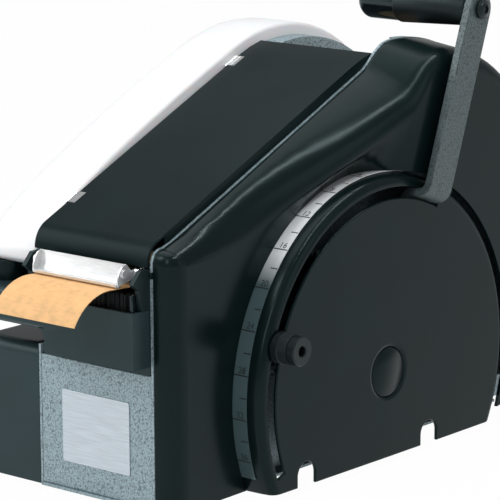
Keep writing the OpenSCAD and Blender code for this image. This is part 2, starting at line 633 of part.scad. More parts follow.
module stop_knob() placed() color("#15181a") at_pivot(knob_angle) translate([0, slot_r, 0]) rotate([0, 90, 0])
    difference() {
        union() {
            translate([0, 0, dial_face + 0.5]) cylinder(h = 4, r = knob_r - 3);
            translate([0, 0, dial_face + 4.5]) linear_extrude(knob_l - 8) for (a = [0 : 15 : 345]) rotate(a)
                polygon([[0, 0], on_circle([0, 0], knob_r - 0.9, -7.6), [knob_r, -0.6], [knob_r, 0.6],
                    on_circle([0, 0], knob_r - 0.9, 7.6)]);
            translate([0, 0, dial_face + 0.5 + knob_l - 4]) cylinder(h = 4, r1 = knob_r - 1, r2 = knob_r - 2.6);
        }
        translate([0, 0, knob_end - 6]) cylinder(h = 7, r = 3.6, $fn = 6);
        translate([0, 0, dial_face]) cylinder(h = 12, r = 3 + fit_gap);
    }
module stop_stud() placed() color("#b4babd") at_pivot(knob_angle) {
    bar(dial_under - seat_gap - 2, dial_face + 12 - dial_under + seat_gap + 2, 3, [slot_r, 0]);
    bar(dial_under - seat_gap - 4, 4, 6.5, [slot_r, 0]);
}

module cluster_gear() placed() color("#a5abad") translate([0, cluster_y, cluster_z]) difference() {
    union() {
        upright(cluster_x, cluster_t) rotate(mesh_dir) gear_2d(cluster_n, wheel_m);
        upright(cluster_x + cluster_t, sector_x + sector_t + 1 - cluster_x - cluster_t)
            rotate(cluster_dir + 180 + 180 / pinion_n) gear_2d(pinion_n, gear_m);
    }
    bar(side_r, 40, axle_r + run_gap, [0, 0]);
}

/* ---- Feed ---- */
feed_x0 = -plate_t - 1.5;
module feed_shaft() placed() color("#b9bfc2")
    bar(feed_x0, cluster_x + cluster_t + 2 - feed_x0, shaft_r, [feed_y, feed_z]);
module feed_gear() placed() color("#a5abad") translate([0, feed_y, feed_z]) difference() {
    upright(cluster_x, cluster_t) rotate(mesh_dir + 180 + 180 / feed_n) gear_2d(feed_n, wheel_m);
    bar(side_r, 40, shaft_r + fit_gap, [0, 0]);
}
tyre_t = 5;
module feed_wheel() placed() color("#8d9498") difference() {
    bar((frame_w - wheel_w) / 2, wheel_w, wheel_r - tyre_t, [feed_y, feed_z]);
    bar(0, frame_w, shaft_r + fit_gap, [feed_y, feed_z]);
    for (i = [0 : 4], x = [(frame_w - wheel_w) / 2 - 1]) translate([x, feed_y, feed_z]) rotate([72 * i, 0, 0])
        bar(0, wheel_w + 2, 6, [19, 0]);
}
module feed_tyre() placed() color("#1d1f20") difference() {
    bar((frame_w - wheel_w) / 2, wheel_w, wheel_r, [feed_y, feed_z]);
    bar(0, frame_w, wheel_r - tyre_t + fit_gap, [feed_y, feed_z]);
}
module feed_bushes() placed() color("#b08d4a") for (x = [-plate_t, frame_w]) difference() {
    union() {
        bar(x, plate_t, shaft_r + 4 - fit_gap, [feed_y, feed_z]);
        bar(x == frame_w ? frame_w - 3 : 0, 3, shaft_r + 6, [feed_y, feed_z]);
    }
    bar(x - 5, 12, shaft_r + run_gap, [feed_y, feed_z]);
}
press_y = feed_y;
tape_top = tape_z + tape_t;
press_z = tape_top + seat_gap + press_r;
module pressure_roller() placed() color("#1d1f20") difference() {
    bar((frame_w - wheel_w) / 2, wheel_w, press_r, [press_y, press_z]);
    bar(0, frame_w, 3.5 + run_gap, [press_y, press_z]);
}
module roller_axle() placed() color("#b4babd")
    bar(-plate_t, frame_w + 2 * plate_t, 3.5 - fit_gap, [press_y, press_z]);
rod_r = 4;
rod_at = [118, tape_top + 0.2 + seat_gap + rod_r];
module tape_guide_rod() placed() color("#c9cdd0")
    bar(-plate_t, frame_w + 2 * plate_t, rod_r - fit_gap, rod_at);

/* ---- Shear ---- */
blade_y = tank_y0 + tank_d + 2.6;
blade_t = 3;
blade_h = 21.6;
bridge_h = 24;
module blade_bridge() placed() color("#5d666a") translate([fit_gap, blade_y + blade_t, tape_z - 4 - bridge_h])
    cube([frame_w - 2 * fit_gap, 4, bridge_h]);
module lower_blade() placed() color("#c2c8ca") translate([2, blade_y, tape_z - 0.4 - blade_h])
    cube([frame_w - 4, blade_t, blade_h]);
upper_lift = 6;
module upper_blade() placed() color("#c2c8ca") translate([0, blade_y - 2.1, 0]) rotate([90, 0, 0])
    translate([0, 0, -1.8]) linear_extrude(1.8) polygon([[3, tape_z + upper_lift], [frame_w - 3, tape_z + upper_lift + 3],
        [frame_w - 3, tape_z + 18], [3, tape_z + 18]]);

module blade_guides() placed() color("#5d666a") for (x = [fit_gap, frame_w - fit_gap - 5]) difference() {
    translate([x, blade_y - 4, tank_top + 1]) cube([5, 4, 32]);
    translate([2.7, blade_y - 2.4, 0]) cube([frame_w - 5.4, 2.4, 300]);
}

/* ---- Tape ---- */
tape_x = (frame_w - tape_w) / 2;
function thick(line, t) = concat(line, [for (i = [len(line) - 1 : -1 : 0])
    let (a = line[max(i - 1, 0)], b = line[min(i + 1, len(line) - 1)], d = (b - a) / norm(b - a))
        line[i] + t * [d[1], -d[0]]]);
module tape_strip(line) upright(tape_x, tape_w) polygon(thick(line, tape_t));

// The web runs under the guide rod and up to the top of the roll, on the line that touches both
web_roll_r = roll_r + seat_gap + tape_t;
web_rod_r = rod_r + seat_gap;
leave_a = atan2(rod_at[1] - roll_z, rod_at[0] - roll_y)
    - acos((web_roll_r + web_rod_r) / norm(rod_at - [roll_y, roll_z]));
module tape_web() placed() color("#c79a63") tape_strip(concat([[blade_y + 0.2, tape_top], [feed_y + 14, tape_top]],
    arc(rod_at, web_rod_r, 270, leave_a + 180, 4), arc([roll_y, roll_z], web_roll_r, leave_a, leave_a - 8, 4)));
tail_c = tail_start + tail_r * [-sin(tail_turn[0]), -cos(tail_turn[0])];
module tape_end() placed() color("#d9a86c") tape_strip(concat(
    [for (a = [tail_turn[1] : 6 : tail_turn[0]]) tail_c + tail_r * [sin(a), cos(a)]],
    [[blade_y - 2.4, tape_top]]));

module tape_roll() placed() color("#c79a63") difference() {
    bar(tape_x, tape_w, roll_r, [roll_y, roll_z]);
    bar(0, frame_w, core_r + 3, [roll_y, roll_z]);
}
module tape_core() placed() color("#9a7a52") difference() {
    bar(tape_x, tape_w, core_r + 3 - fit_gap, [roll_y, roll_z]);
    bar(0, frame_w, core_r, [roll_y, roll_z]);
}

base_plate();
left_side_plate();
right_side_plate();
front_plate();
label_plate();
rear_panel();
rubber_feet();
left_guide_disc();
right_guide_disc();
disc_spacers();
front_basket_roller();
rear_basket_roller();
basket_axles();
brush_tank();
front_brush();
rear_brush();
water_bottle();
bottle_cap();
left_cover();
right_cover();
dial_housing();
length_scale();
axis_plug();
top_cover();
lid_hinge_clips();
weight_plate();
weight_pin();
main_shaft();
cluster_axle();
lever_hub();
sector_gear();
lever_arm();
grip_bolt();
lever_grip();
stop_knob();
stop_stud();
cluster_gear();
feed_shaft();
feed_gear();
feed_wheel();
feed_tyre();
feed_bushes();
pressure_roller();
roller_axle();
blade_bridge();
lower_blade();
upper_blade();
tape_guide_rod();
tape_web();
tape_end();
tape_roll();
tape_core();
blade_guides();
weight_brackets();
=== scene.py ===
import json
import math
import random

import bmesh
import bpy
from mathutils import Matrix, Vector

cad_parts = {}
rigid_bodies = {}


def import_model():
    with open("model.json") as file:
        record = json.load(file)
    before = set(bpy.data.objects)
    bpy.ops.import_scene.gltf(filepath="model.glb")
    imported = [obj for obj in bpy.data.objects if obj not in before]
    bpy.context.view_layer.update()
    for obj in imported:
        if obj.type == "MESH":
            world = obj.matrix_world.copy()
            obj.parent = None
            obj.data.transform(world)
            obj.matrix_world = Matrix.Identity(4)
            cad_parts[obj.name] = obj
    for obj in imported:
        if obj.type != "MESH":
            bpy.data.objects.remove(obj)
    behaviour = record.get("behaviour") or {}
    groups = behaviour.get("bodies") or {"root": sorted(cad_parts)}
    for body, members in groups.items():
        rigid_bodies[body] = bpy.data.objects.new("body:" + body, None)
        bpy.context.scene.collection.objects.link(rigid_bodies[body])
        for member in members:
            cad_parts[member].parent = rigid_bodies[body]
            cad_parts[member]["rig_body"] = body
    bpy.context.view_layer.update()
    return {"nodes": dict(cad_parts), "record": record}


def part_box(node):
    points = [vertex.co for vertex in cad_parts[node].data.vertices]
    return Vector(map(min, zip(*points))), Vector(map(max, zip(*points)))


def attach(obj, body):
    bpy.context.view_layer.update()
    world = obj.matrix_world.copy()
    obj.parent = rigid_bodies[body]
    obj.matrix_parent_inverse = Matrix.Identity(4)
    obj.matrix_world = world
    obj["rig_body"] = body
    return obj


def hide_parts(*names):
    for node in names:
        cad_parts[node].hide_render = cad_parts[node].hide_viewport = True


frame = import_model()
nodes = frame["nodes"]
mm = 0.001

# the machine is drawn from its own corner: x right of the left plate, y back from the front plate,
# z up from a level a little above the ground
plateThickness = 2
levelHeight = 9
corner = Vector((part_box("left_side_plate")[0].x + plateThickness * mm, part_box("front_plate")[0].y,
                 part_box("rubber_feet")[0].z + levelHeight * mm))


def at(x, y, z):
    return corner + Vector((x, y, z)) * mm


camera = {  # angles in degrees, place in mm on the machine, nearest in metres
    "azimuth": 40.28, "elevation": 12.18, "roll": -0.28, "place": (1417.2, -1447.3, 600.0),
    "lens": 216, "sensor": 36, "nearest": 0.05,
}


def addCamera(c):
    a, e, r = (math.radians(c[k]) for k in ("azimuth", "elevation", "roll"))
    forward = Vector((-math.sin(a) * math.cos(e), math.cos(a) * math.cos(e), -math.sin(e)))
    right = Vector((math.cos(a), math.sin(a), 0))
    up = right.cross(forward)
    right, up = math.cos(r) * right + math.sin(r) * up, math.cos(r) * up - math.sin(r) * right
    data = bpy.data.cameras.new("camera")
    data.lens, data.sensor_width, data.clip_start = c["lens"], c["sensor"], c["nearest"]
    obj = bpy.data.objects.new("camera", data)
    turn = Matrix((right, up, -forward)).transposed().to_4x4()
    obj.matrix_world = Matrix.Translation(at(*c["place"])) @ turn
    bpy.context.scene.collection.objects.link(obj)
    bpy.context.scene.camera = obj


lamps = {  # place in metres from the middle of the machine, size and strength
    "topSoftbox": {"place": (-0.35, 0.0, 1.5), "size": (1.3, 1.0), "watts": 7},
    "ridgeStrip": {"place": (0.5, 0.2, 1.5), "size": (1.4, 0.05), "watts": 8},
    "leftSoftbox": {"place": (-1.3, -0.9, 0.9), "size": (0.9, 1.2), "watts": 9.5},
    "noseSoftbox": {"place": (-0.45, -1.25, 1.35), "size": (0.35, 0.7), "watts": 6},
    "frontStrip": {"place": (0.5, -1.9, 1.3), "size": (0.2, 1.1), "watts": 6},
    "rightFill": {"place": (1.9, 0.3, 0.8), "size": (0.8, 1.2), "watts": 2.5},
}
lampsAimAt = 0.15  # height in metres


def addLamps():
    aim = Vector((0, 0, lampsAimAt))
    for name, lamp in lamps.items():
        data = bpy.data.lights.new(name, "AREA")
        data.shape, data.size, data.size_y = "RECTANGLE", *lamp["size"]
        data.energy = lamp["watts"]
        obj = bpy.data.objects.new(name, data)
        place = Vector(lamp["place"])
        turn = (aim - place).to_track_quat("-Z", "Y").to_matrix().to_4x4()
        obj.matrix_world = Matrix.Translation(place) @ turn
        bpy.context.scene.collection.objects.link(obj)


def seenDirectly(tree):
    # 1 where the camera, a mirror or clear glass looks, 0 for the light that falls on the object
    path = addNode(tree, "LightPath")
    first = addNode(tree, "Math", operation="MAXIMUM")
    tree.links.new(path.outputs["Is Camera Ray"], first.inputs[0])
    tree.links.new(path.outputs["Is Glossy Ray"], first.inputs[1])
    second = addNode(tree, "Math", operation="MAXIMUM")
    tree.links.new(first.outputs[0], second.inputs[0])
    tree.links.new(path.outputs["Is Transmission Ray"], second.inputs[1])
    return second.outputs[0]


studio = {  # what the empty room gives as light and to a mirror, and what the paper on the floor does
    "softLight": 0.4, "softColour": (0.95, 0.97, 1, 1), "inMirrors": 0.42,
    "paper": (0.9, 0.9, 0.9, 1), "paperGlow": 0.98, "floorSize": 6,
}


def addWorld():
    world = bpy.data.worlds.new("studio")
    bpy.context.scene.world = world
    world.use_nodes = True
    tree = world.node_tree
    tree.nodes.clear()
    out = addNode(tree, "OutputWorld")
    mix = addNode(tree, "MixShader")
    soft = addNode(tree, "Background")
    soft.inputs["Strength"].default_value = studio["softLight"]
    soft.inputs["Color"].default_value = studio["softColour"]
    white = addNode(tree, "Background")
    white.inputs["Color"].default_value = (1, 1, 1, 1)
    # a mirror sees a dim room where the camera sees white paper
    room = addNode(tree, "LightPath")
    dim = addNode(tree, "MapRange")
    dim.inputs["To Min"].default_value = 1
    dim.inputs["To Max"].default_value = studio["inMirrors"]
    tree.links.new(room.outputs["Is Glossy Ray"], dim.inputs["Value"])
    tree.links.new(dim.outputs["Result"], white.inputs["Strength"])
    tree.links.new(seenDirectly(tree), mix.inputs[0])
    tree.links.new(soft.outputs[0], mix.inputs[1])
    tree.links.new(white.outputs[0], mix.inputs[2])
    tree.links.new(mix.outputs[0], out.inputs["Surface"])


def addFloor():
    bm = bmesh.new()
    bmesh.ops.create_grid(bm, x_segments=1, y_segments=1, size=studio["floorSize"])
    floor = newPiece("floor", bm)
    mat = bpy.data.materials.new("floor")
    mat.use_nodes = True
    tree = mat.node_tree
    tree.nodes.clear()
    out = addNode(tree, "OutputMaterial")
    mix = addNode(tree, "MixShader")
    paper = addNode(tree, "BsdfDiffuse")
    paper.inputs["Color"].default_value = studio["paper"]
    glow = addNode(tree, "Emission")
    share = addNode(tree, "Math", operation="MULTIPLY")
    share.inputs[1].default_value = studio["paperGlow"]
    tree.links.new(seenDirectly(tree), share.inputs[0])
    tree.links.new(share.outputs[0], mix.inputs[0])
    tree.links.new(paper.outputs[0], mix.inputs[1])
    tree.links.new(glow.outputs[0], mix.inputs[2])
    tree.links.new(mix.outputs[0], out.inputs["Surface"])
    floor.data.materials.append(mat)


finishes = {}


def newFinish(name, colour, roughness, metallic=0.0, **sockets):
    mat = bpy.data.materials.new(name)
    mat.use_nodes = True
    tree = mat.node_tree
    shader = tree.nodes["Principled BSDF"]
    shader.inputs["Base Color"].default_value = (*colour, 1)
    shader.inputs["Roughness"].default_value = roughness
    shader.inputs["Metallic"].default_value = metallic
    for key, value in sockets.items():
        shader.inputs[key.replace("_", " ")].default_value = value
    finishes[name] = mat
    return tree, shader


def addNode(tree, kind, **settings):
    node = tree.nodes.new("ShaderNode" + kind)
    for key, value in settings.items():
        setattr(node, key, value)
    return node


def coords(tree, scale=(1, 1, 1), move=(0, 0, 0)):
    place = addNode(tree, "TexCoord")
    mapping = addNode(tree, "Mapping")
    mapping.inputs["Scale"].default_value = scale
    mapping.inputs["Location"].default_value = move
    tree.links.new(place.outputs["Object"], mapping.inputs[0])
    return mapping.outputs[0]


def ramp(tree, source, stops):
    node = addNode(tree, "ValToRGB")
    line = node.color_ramp.elements
    while len(line) < len(stops):
        line.new(0.5)
    for element, (where, colour) in zip(line, stops):
        element.position = where
        element.color = (*colour, 1)
    tree.links.new(source, node.inputs[0])
    return node.outputs[0]


def bumped(tree, shader, height, strength, distance):
    bump = addNode(tree, "Bump")
    bump.inputs["Strength"].default_value = strength
    bump.inputs["Distance"].default_value = distance
    tree.links.new(height, bump.inputs["Height"])
    tree.links.new(bump.outputs[0], shader.inputs["Normal"])


def hammertone(name, dark, light):
    tree, shader = newFinish(name, light, 0.42, 0.3)
    where = coords(tree)
    cells = addNode(tree, "TexVoronoi", feature="SMOOTH_F1")
    cells.inputs["Scale"].default_value = 800
    cells.inputs["Smoothness"].default_value = 0.8
    wobble = addNode(tree, "TexNoise")
    wobble.inputs["Scale"].default_value = 980
    wobble.inputs["Detail"].default_value = 2
    tree.links.new(where, cells.inputs["Vector"])
    tree.links.new(where, wobble.inputs["Vector"])
    share = addNode(tree, "Math", operation="MULTIPLY")
    tree.links.new(cells.outputs["Distance"], share.inputs[0])
    share.inputs[1].default_value = 0.6
    mix = addNode(tree, "Math", operation="MULTIPLY_ADD")
    tree.links.new(wobble.outputs["Fac"], mix.inputs[0])
    mix.inputs[1].default_value = 0.66
    tree.links.new(share.outputs[0], mix.inputs[2])
    middle = tuple(0.45 * a + 0.55 * b for a, b in zip(dark, light))
    spots = ramp(tree, mix.outputs[0], [(0.46, light), (0.66, middle), (0.84, dark)])
    tree.links.new(spots, shader.inputs["Base Color"])
    bumped(tree, shader, mix.outputs[0], 0.35, 0.0004)


def coverPlastic(name, colour, roughness, grain, shine=0.3):
    tree, shader = newFinish(name, colour, roughness, Specular_IOR_Level=shine)
    shader.inputs["Specular Tint"].default_value = (0.72, 0.97, 1, 1)
    where = coords(tree)
    fine = addNode(tree, "TexNoise")
    fine.inputs["Scale"].default_value = 1500
    fine.inputs["Detail"].default_value = 2
    broad = addNode(tree, "TexNoise")
    broad.inputs["Scale"].default_value = 22
    broad.inputs["Detail"].default_value = 4
    tree.links.new(where, fine.inputs["Vector"])
    tree.links.new(where, broad.inputs["Vector"])
    lift = tuple(c * 1.3 for c in colour)
    shade = ramp(tree, broad.outputs["Fac"], [(0.35, colour), (0.7, lift)])
    tree.links.new(shade, shader.inputs["Base Color"])
    rough = addNode(tree, "MapRange")
    rough.inputs["To Min"].default_value = roughness - 0.04
    rough.inputs["To Max"].default_value = roughness + 0.07
    tree.links.new(broad.outputs["Fac"], rough.inputs["Value"])
    tree.links.new(rough.outputs["Result"], shader.inputs["Roughness"])
    bumped(tree, shader, fine.outputs["Fac"], grain, 0.0001)


def rubber(name):
    tree, shader = newFinish(name, (0.018, 0.019, 0.02), 0.75)
    grain = addNode(tree, "TexNoise")
    grain.inputs["Scale"].default_value = 900
    tree.links.new(coords(tree), grain.inputs["Vector"])
    grey = ramp(tree, grain.outputs["Fac"], [(0.3, (0.012, 0.013, 0.014)), (0.8, (0.035, 0.036, 0.038))])
    tree.links.new(grey, shader.inputs["Base Color"])
    bumped(tree, shader, grain.outputs["Fac"], 0.3, 0.0002)


def brushedMetal(name, colour, roughness, stretch, grainScale=900, depth=0.12, metallic=1.0):
    tree, shader = newFinish(name, colour, roughness, metallic)
    grain = addNode(tree, "TexNoise")
    grain.inputs["Scale"].default_value = grainScale
    grain.inputs["Detail"].default_value = 3
    tree.links.new(coords(tree, stretch), grain.inputs["Vector"])
    low = tuple(c * 0.82 for c in colour)
    streaks = ramp(tree, grain.outputs["Fac"], [(0.3, low), (0.7, colour)])
    tree.links.new(streaks, shader.inputs["Base Color"])
    rough = addNode(tree, "MapRange")
    rough.inputs["To Min"].default_value = roughness * 0.8
    rough.inputs["To Max"].default_value = roughness * 1.3
    tree.links.new(grain.outputs["Fac"], rough.inputs["Value"])
    tree.links.new(rough.outputs["Result"], shader.inputs["Roughness"])
    bumped(tree, shader, grain.outputs["Fac"], depth, 0.0001)


# heights between which the foil's painted shade fades into its bright colour
foil = {"shadeFrom": 95, "brightFrom": 215}  # heights in mm


def scaleFoil(name, shade, bright):
    # painted shade: bright where the strip lies flat on top of the dial, and painted darker down its front,
    # where less light falls on it
    tree, shader = newFinish(name, bright, 0.3, 0.25)
    parts = addNode(tree, "SeparateXYZ")
    tree.links.new(coords(tree), parts.inputs[0])
    height = addNode(tree, "MapRange")
    height.inputs["From Min"].default_value = at(0, 0, foil["shadeFrom"]).z
    height.inputs["From Max"].default_value = at(0, 0, foil["brightFrom"]).z
    tree.links.new(parts.outputs["Z"], height.inputs["Value"])
    # the darker colour low on the strip is painted shade, not the foil's own colour
    paintedShadeTone = ramp(tree, height.outputs["Result"], [(0.4, shade), (0.56, bright)])
    tree.links.new(paintedShadeTone, shader.inputs["Base Color"])


def bottlePlastic(name):
    tree, shader = newFinish(name, (0.8, 0.81, 0.81), 0.32, Subsurface_Weight=0.2, Subsurface_Scale=0.01)
    broad = addNode(tree, "TexNoise")
    broad.inputs["Scale"].default_value = 14
    tree.links.new(coords(tree), broad.inputs["Vector"])
    milky = ramp(tree, broad.outputs["Fac"], [(0.3, (0.74, 0.75, 0.76)), (0.7, (0.8, 0.81, 0.82))])
    tree.links.new(milky, shader.inputs["Base Color"])
    bumped(tree, shader, broad.outputs["Fac"], 0.15, 0.002)


def kraftPaper(name, colour):
    tree, shader = newFinish(name, colour, 0.6, Specular_IOR_Level=0.25)
    fibre = addNode(tree, "TexNoise")
    fibre.inputs["Scale"].default_value = 520
    fibre.inputs["Detail"].default_value = 5
    tree.links.new(coords(tree, (0.35, 1, 1)), fibre.inputs["Vector"])
    cloud = addNode(tree, "TexNoise")
    cloud.inputs["Scale"].default_value = 130
    cloud.inputs["Detail"].default_value = 3
    tree.links.new(coords(tree), cloud.inputs["Vector"])
    both = addNode(tree, "Math", operation="MULTIPLY_ADD")
    tree.links.new(fibre.outputs["Fac"], both.inputs[0])
    both.inputs[1].default_value = 0.6
    tree.links.new(cloud.outputs["Fac"], both.inputs[2])
    dark = tuple(c * 0.88 for c in colour)
    light = tuple(min(1, c * 1.06) for c in colour)
    fibres = ramp(tree, both.outputs[0], [(0.6, dark), (0.82, colour), (1.0, light)])
    tree.links.new(fibres, shader.inputs["Base Color"])
    bumped(tree, shader, fibre.outputs["Fac"], 0.15, 0.0001)


rollMiddle = (51.5, 262, 133)


def woundPaper(name, colour):
    # the roll shows the edges of its turns on both ends
    tree, shader = newFinish(name, colour, 0.7)
    middle = at(*rollMiddle)
    rings = addNode(tree, "TexWave", wave_type="RINGS", rings_direction="X")
    rings.inputs["Scale"].default_value = 180
    rings.inputs["Distortion"].default_value = 0.6
    tree.links.new(coords(tree, move=tuple(-middle)), rings.inputs["Vector"])
    dark = tuple(c * 0.72 for c in colour)
    turns = ramp(tree, rings.outputs["Fac"], [(0.2, dark), (0.8, colour)])
    tree.links.new(turns, shader.inputs["Base Color"])
    bumped(tree, shader, rings.outputs["Fac"], 0.3, 0.0003)


def plainInk(name, colour):
    tree, shader = newFinish(name, colour, 0.5)
    speck = addNode(tree, "TexNoise")
    speck.inputs["Scale"].default_value = 700
    tree.links.new(coords(tree), speck.inputs["Vector"])
    lift = tuple(c + 0.02 for c in colour)
    specks = ramp(tree, speck.outputs["Fac"], [(0.4, colour), (0.8, lift)])
    tree.links.new(specks, shader.inputs["Base Color"])


def makeFinishes():
    hammertone("hammertone", (0.1, 0.135, 0.148), (0.34, 0.45, 0.49))
    hammertone("hammertone_dark", (0.02, 0.03, 0.032), (0.1, 0.135, 0.142))
    brushedMetal("bare_label", (0.66, 0.73, 0.79), 0.5, (0.05, 1, 1), depth=0.04)
    rubber("rubber")
    coverPlastic("black_plastic", (0.0028, 0.0075, 0.0078), 0.22, 0.12, shine=0.16)
    coverPlastic("lid_plastic", (0.004, 0.0095, 0.0103), 0.3, 0.12, shine=0.1)
    coverPlastic("tank_plastic", (0.014, 0.0265, 0.03), 0.34, 0.15)
    coverPlastic("black_disc", (0.005, 0.011, 0.012), 0.4, 0.2)
    coverPlastic("bristle", (0.012, 0.013, 0.014), 0.5, 0.3)
    coverPlastic("black_knob", (0.007, 0.009, 0.01), 0.3, 0.2)
    coverPlastic("glossy_grip", (0.005, 0.008, 0.009), 0.08, 0.0, shine=0.5)
    coverPlastic("grained_grip", (0.006, 0.008, 0.009), 0.36, 1.0)
    bottlePlastic("white_plastic")
    scaleFoil("scale_strip", (0.085, 0.135, 0.145), (0.9, 0.93, 0.94))
    brushedMetal("bright_plate", (0.8, 0.82, 0.83), 0.2, (0.1, 1, 1), depth=0.01, metallic=0.5)
    brushedMetal("chrome", (0.9, 0.92, 0.93), 0.07, (0.1, 1, 1), 600, 0.01)
    brushedMetal("steel", (0.58, 0.6, 0.61), 0.3, (0.06, 1, 1))
    brushedMetal("bronze", (0.5, 0.36, 0.17), 0.4, (1, 1, 1))
    kraftPaper("kraft", (0.74, 0.44, 0.2))
    woundPaper("wound_kraft", (0.72, 0.5, 0.29))
    woundPaper("paper_core", (0.42, 0.29, 0.17))
    plainInk("ink", (0.006, 0.007, 0.008))


def newPiece(name, bm, finish=None):
    mesh = bpy.data.meshes.new(name)
    bm.to_mesh(mesh)
    bm.free()
    obj = bpy.data.objects.new(name, mesh)
    bpy.context.scene.collection.objects.link(obj)
    if finish:
        mesh.materials.append(finishes[finish])
    return obj


def smoothBy(obj, degrees=35):
    obj.data.polygons.foreach_set("use_smooth", [True] * len(obj.data.polygons))
    obj.data.set_sharp_from_angle(angle=math.radians(degrees))


slotOf = {s["node"]: s["material_slot"] for s in frame["record"]["subparts"]}
finishOf = {  # nodes whose finish isn't their slot's
    # the left cover is black plastic like the right cover; the lighter tank finish given to it here is
    # painted light
    "brush_tank": "tank_plastic", "left_cover": "tank_plastic", "top_cover": "lid_plastic",
    "tape_roll": "wound_kraft", "weight_plate": "bright_plate",
}

# where the cover's shoulder ends in the nose, and x of its outer and inner face, in mm
noseCorner = {"place": (15.45, 166.94), "faces": (122.3, 119.8), "onFace": 0.02, "reach": 3.5}


def gatherNose(bm):
    # the shoulder's ends turn back on themselves inside the nose's bend, so each face draws them together
    corner = noseCorner
    for x in corner["faces"]:
        middle = at(x, *corner["place"])
        near = [v for v in bm.verts if (v.co - middle).length < corner["reach"] * mm]
        ends = [v for v in near if abs(v.co.x - middle.x) < corner["onFace"] * mm]
        bmesh.ops.pointmerge(bm, verts=ends, merge_co=middle)
    bmesh.ops.dissolve_degenerate(bm, dist=1e-6, edges=bm.edges)


edgeStyle = {  # angles in degrees
    "segments": 2, "sharperThan": 40, "flatWithin": 0.5,
    "weighted": ("right_cover", "dial_housing", "left_cover"),
}


def edged(node, width):
    # the same solid with its edges broken, as a moulded or pressed piece has them
    bm = bmesh.new()
    bm.from_mesh(nodes[node].data)
    bmesh.ops.remove_doubles(bm, verts=bm.verts, dist=1e-6)
    if node == "right_cover":
        gatherNose(bm)
    flat = math.radians(edgeStyle["flatWithin"])
    bmesh.ops.dissolve_limit(bm, angle_limit=flat, verts=bm.verts, edges=bm.edges)
    piece = newPiece(node + "_shell", bm, finishOf.get(node, slotOf[node]))
    if width:
        bevel = piece.modifiers.new("edges", "BEVEL")
        bevel.width, bevel.segments = width * mm, edgeStyle["segments"]
        bevel.limit_method, bevel.angle_limit = "ANGLE", math.radians(edgeStyle["sharperThan"])
        bevel.harden_normals = False
    smoothBy(piece)
    if node in edgeStyle["weighted"]:
        piece.modifiers.new("flats", "WEIGHTED_NORMAL").keep_sharp = True
    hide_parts(node)
    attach(piece, nodes[node]["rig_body"])


def dressNodes():
    for name, obj in nodes.items():
        obj.data.materials.clear()
        obj.data.materials.append(finishes[finishOf.get(name, slotOf[name])])


brokenEdges = {  # node: width of the broken edge in mm
    "left_side_plate": 0.4, "right_side_plate": 0.4, "front_plate": 0.7, "label_plate": 0.3,
    "rear_panel": 0.4, "brush_tank": 1.6, "left_cover": 0.8, "dial_housing": 0.8, "top_cover": 0.8,
    "lever_arm": 0.7, "right_cover": 0, "water_bottle": 0, "upper_blade": 0.2, "lower_blade": 0.2,
    "weight_plate": 0.3, "bottle_cap": 0.8, "axis_plug": 0.4, "lever_hub": 0.5, "grip_bolt": 0.6,
}

scale = {  # the marks on the dial, with the lever's pivot as their middle
    "pivot": (205.5, 60.5), "radius": 144.16, "zeroAngle": 84.1, "perInch": 3.095,
    "left": 122.3, "right": 134.4, "inches": (4, 37), "tickWidth": 0.85,
    "numberSize": 6.6, "numberGap": 1.3, "numberShift": 0.6,
}


def aroundPivot(radius, angle):
    a = math.radians(angle)
    return (scale["pivot"][0] + radius * math.cos(a), scale["pivot"][1] + radius * math.sin(a))


def onDrum(x, angle, tilt):
    # a place on the drum's face, with local x across it, y back along it and z outwards
    a = math.radians(tilt)
    across, outward = Vector((1, 0, 0)), Vector((0, math.cos(a), math.sin(a)))
    turn = Matrix((across, outward.cross(across), outward)).transposed().to_4x4()
    return Matrix.Translation(at(x, *aroundPivot(scale["radius"], angle))) @ turn


def addScaleMarks():
    s = scale
    bm = bmesh.new()
    halfway = (s["left"] + s["right"]) / 2
    for inches in range(*s["inches"], 2):
        angle = s["zeroAngle"] + s["perInch"] * inches
        start = s["left"] if inches % 4 == 0 else halfway
        size = Matrix.Diagonal(((s["right"] - start) * mm, s["tickWidth"] * mm, 1, 1))
        bmesh.ops.create_grid(bm, x_segments=1, y_segments=1, size=0.5,
                              matrix=onDrum((start + s["right"]) / 2, angle, angle) @ size)
    for inches in range(*s["inches"], 4):
        text = bpy.data.curves.new("number", "FONT")
        text.body, text.size, text.align_x = str(inches), s["numberSize"] * mm, "CENTER"
        shape = bpy.data.objects.new("number", text)
        letters = shape.to_mesh()
        angle = s["zeroAngle"] + s["perInch"] * inches
        foot = angle - math.degrees(s["numberGap"] / s["radius"])
        letters.transform(onDrum(halfway + s["numberShift"], foot, angle))
        bm.from_mesh(letters)
        shape.to_mesh_clear()
        bpy.data.objects.remove(shape)
    marks = newPiece("scale_marks", bm, "ink")
    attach(marks, "frame")


def turned(bm, profile, centre, segments, cut=None):
    # spins a profile of [right, radius] in mm round an axis along x through centre, and closes its ends;
    # cut gives the depth taken off at x and at a share of the turn
    line = [bm.verts.new(at(x, centre[0] + r, centre[1])) for x, r in profile]
    made = line + [bm.edges.new(pair) for pair in zip(line, line[1:])]
    bmesh.ops.spin(bm, geom=made, cent=at(0, *centre), axis=(1, 0, 0), angle=2 * math.pi, steps=segments,
                   use_merge=True)
    bmesh.ops.holes_fill(bm, edges=[e for e in bm.edges if e.is_boundary], sides=0)
    if cut:
        axis = at(0, *centre)
        for v in bm.verts:
            out = Vector((0, v.co.y - axis.y, v.co.z - axis.z))
            share = math.atan2(out.z, out.y) / (2 * math.pi)
            v.co -= out.normalized() * cut((v.co.x - axis.x) / mm, share) * mm


def addBox(bm, low, high):
    low, high = at(*low), at(*high)
    size = Matrix.Diagonal((*(high - low), 1))
    bmesh.ops.create_cube(bm, size=1, matrix=Matrix.Translation((low + high) / 2) @ size)


def finished(name, bm, finish, body, replaced=None, degrees=35):
    bmesh.ops.recalc_face_normals(bm, faces=bm.faces)
    piece = newPiece(name, bm, finish)
    smoothBy(piece, degrees)
    if replaced:
        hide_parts(replaced)
    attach(piece, body)
    return piece


